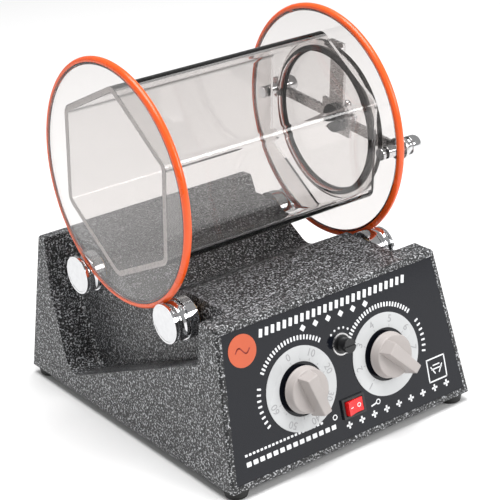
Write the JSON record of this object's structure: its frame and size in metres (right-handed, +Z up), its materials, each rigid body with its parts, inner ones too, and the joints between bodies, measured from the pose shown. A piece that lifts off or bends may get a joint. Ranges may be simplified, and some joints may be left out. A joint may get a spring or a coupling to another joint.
{
  "type": "rotary rock tumbler",
  "caption": "Motor-driven rotary tumbler: a clear hexagonal barrel between two ringed end discs, rolling on chrome rollers over a sloped-panel housing with timer, speed and power controls.",
  "frame": {"origin": "under the middle of the whole machine, on the surface its rubber feet stand on", "axes": "+Z up, +X towards the lid end of the barrel along its axis, -Y towards the control panel"},
  "size_m": [0.2504, 0.3019, 0.3],
  "materials": {
    "hammertone": "hammered satin",
    "dark_steel": "satin",
    "fascia_black": "glossy printed sheet",
    "white_print": "glossy",
    "orange_label": "glossy",
    "acrylic": "clear polished",
    "orange_urethane": "satin, slightly translucent",
    "black_rubber": "matte",
    "chrome": "polished",
    "steel": "brushed",
    "brass": "turned",
    "knob_grey": "moulded satin",
    "black_plastic": "moulded satin",
    "red_plastic": "glossy",
    "board_green": "matte",
    "grey_casting": "cast",
    "fuse_glass": "clear"
  },
  "bodies": {
    "housing": {"housing_shell": "hammertone", "base_plate": "dark_steel", "rubber_feet": "black_rubber", "foot_screws": "steel", "front_fascia": "fascia_black", "timer_dial": "white_print", "speed_dial": "white_print", "supply_sticker": "orange_label", "timer_body": "black_plastic", "speed_control_body": "steel", "control_nuts": "steel", "rocker_switch_body": "black_plastic", "fuse_holder": "black_plastic", "speed_control_board": "board_green", "mains_inlet": "black_plastic", "inlet_pins": "brass", "inlet_screws": "steel", "bearing_front_left": "brass", "bearing_front_right": "brass", "bearing_rear_left": "brass", "bearing_rear_right": "brass", "drive_belt": "black_rubber", "motor": "dark_steel", "gearbox": "grey_casting", "motor_bracket": "steel", "bracket_screws": "steel"},
    "drum": {"barrel_tube": "acrylic", "end_disc_closed": "acrylic", "end_disc_open": "acrylic", "drive_ring_closed_end": "orange_urethane", "drive_ring_lid_end": "orange_urethane", "clamp_studs": "chrome"},
    "lid": {"lid_gasket": "black_rubber", "lid_disc": "acrylic", "pressure_pad": "black_rubber"},
    "yoke": {"lid_yoke": "steel"},
    "clamp": {"clamp_screw": "steel", "clamp_knob": "chrome"},
    "nut_front": {"thumb_nut_front": "chrome"},
    "nut_rear": {"thumb_nut_rear": "chrome"},
    "front_rollers": {"front_shaft": "steel", "roller_front_left": "chrome", "roller_front_right": "chrome", "front_roller_set_screws": "steel", "front_shaft_clips": "steel"},
    "rear_rollers": {"rear_shaft": "steel", "roller_rear_left": "chrome", "roller_rear_right": "chrome", "rear_roller_set_screws": "steel", "rear_shaft_clips": "steel", "shaft_pulley": "grey_casting"},
    "motor_output": {"motor_output_shaft": "steel", "motor_pulley": "grey_casting"},
    "timer": {"timer_knob": "knob_grey", "timer_spindle": "steel"},
    "speed": {"speed_knob": "knob_grey", "speed_spindle": "steel"},
    "rocker": {"power_rocker": "red_plastic"},
    "fuse": {"glass_fuse": "fuse_glass"},
    "fuse_cap_body": {"fuse_cap": "black_plastic"}
  },
  "joints": [
    {"name": "drum_spin", "type": "hinge", "parent": "housing", "child": "drum", "pos_m": [-0.00825, 0.01334, 0.203], "axis": [1, 0, 0], "continuous": true},
    {"name": "front_shaft_spin", "type": "hinge", "parent": "housing", "child": "front_rollers", "pos_m": [-0.00825, -0.04866, 0.11057], "axis": [1, 0, 0], "continuous": true},
    {"name": "rear_shaft_spin", "type": "hinge", "parent": "housing", "child": "rear_rollers", "pos_m": [-0.00825, 0.07534, 0.11057], "axis": [1, 0, 0], "continuous": true},
    {"name": "motor_spin", "type": "hinge", "parent": "housing", "child": "motor_output", "pos_m": [0.04775, 0.02334, 0.046], "axis": [1, 0, 0], "continuous": true},
    {"name": "lid_slide", "type": "slide", "parent": "drum", "child": "lid", "axis": [1, 0, 0], "range_m": [0, 0.06]},
    {"name": "yoke_slide", "type": "slide", "parent": "lid", "child": "yoke", "axis": [1, 0, 0], "range_m": [0, 0.03]},
    {"name": "clamp_turn", "type": "hinge", "parent": "yoke", "child": "clamp", "pos_m": [0.10925, 0.01334, 0.203], "axis": [1, 0, 0], "range_deg": [0, 720]},
    {"name": "nut_front_turn", "type": "hinge", "parent": "yoke", "child": "nut_front", "pos_m": [0.10925, -0.06319, 0.19455], "axis": [1, 0, 0], "continuous": true},
    {"name": "nut_rear_turn", "type": "hinge", "parent": "yoke", "child": "nut_rear", "pos_m": [0.10925, 0.08988, 0.21145], "axis": [1, 0, 0], "continuous": true},
    {"name": "timer_turn", "type": "hinge", "parent": "housing", "child": "timer", "pos_m": [-0.04925, -0.12513, 0.06272], "axis": [0, -0.977, 0.213], "range_deg": [-135, 165]},
    {"name": "speed_turn", "type": "hinge", "parent": "housing", "child": "speed", "pos_m": [0.03275, -0.12513, 0.06272], "axis": [0, -0.977, 0.213], "range_deg": [0, 270]},
    {"name": "rocker_tilt", "type": "hinge", "parent": "housing", "child": "rocker", "pos_m": [-0.00625, -0.13159, 0.03495], "axis": [0, -0.213, -0.977], "range_deg": [0, 18]},
    {"name": "fuse_slide", "type": "slide", "parent": "housing", "child": "fuse", "axis": [0, -0.977, 0.213], "range_m": [0, 0.028]},
    {"name": "fuse_cap_turn", "type": "hinge", "parent": "fuse", "child": "fuse_cap_body", "pos_m": [-0.00625, -0.12072, 0.08294], "axis": [0, -0.977, 0.213], "range_deg": [0, 90]}
  ],
  "couplings": [
    {"joint": "front_shaft_spin", "follows": "drum_spin", "ratio": -6.9286},
    {"joint": "rear_shaft_spin", "follows": "drum_spin", "ratio": -6.9286},
    {"joint": "motor_spin", "follows": "drum_spin", "ratio": -6.9286}
  ]
}
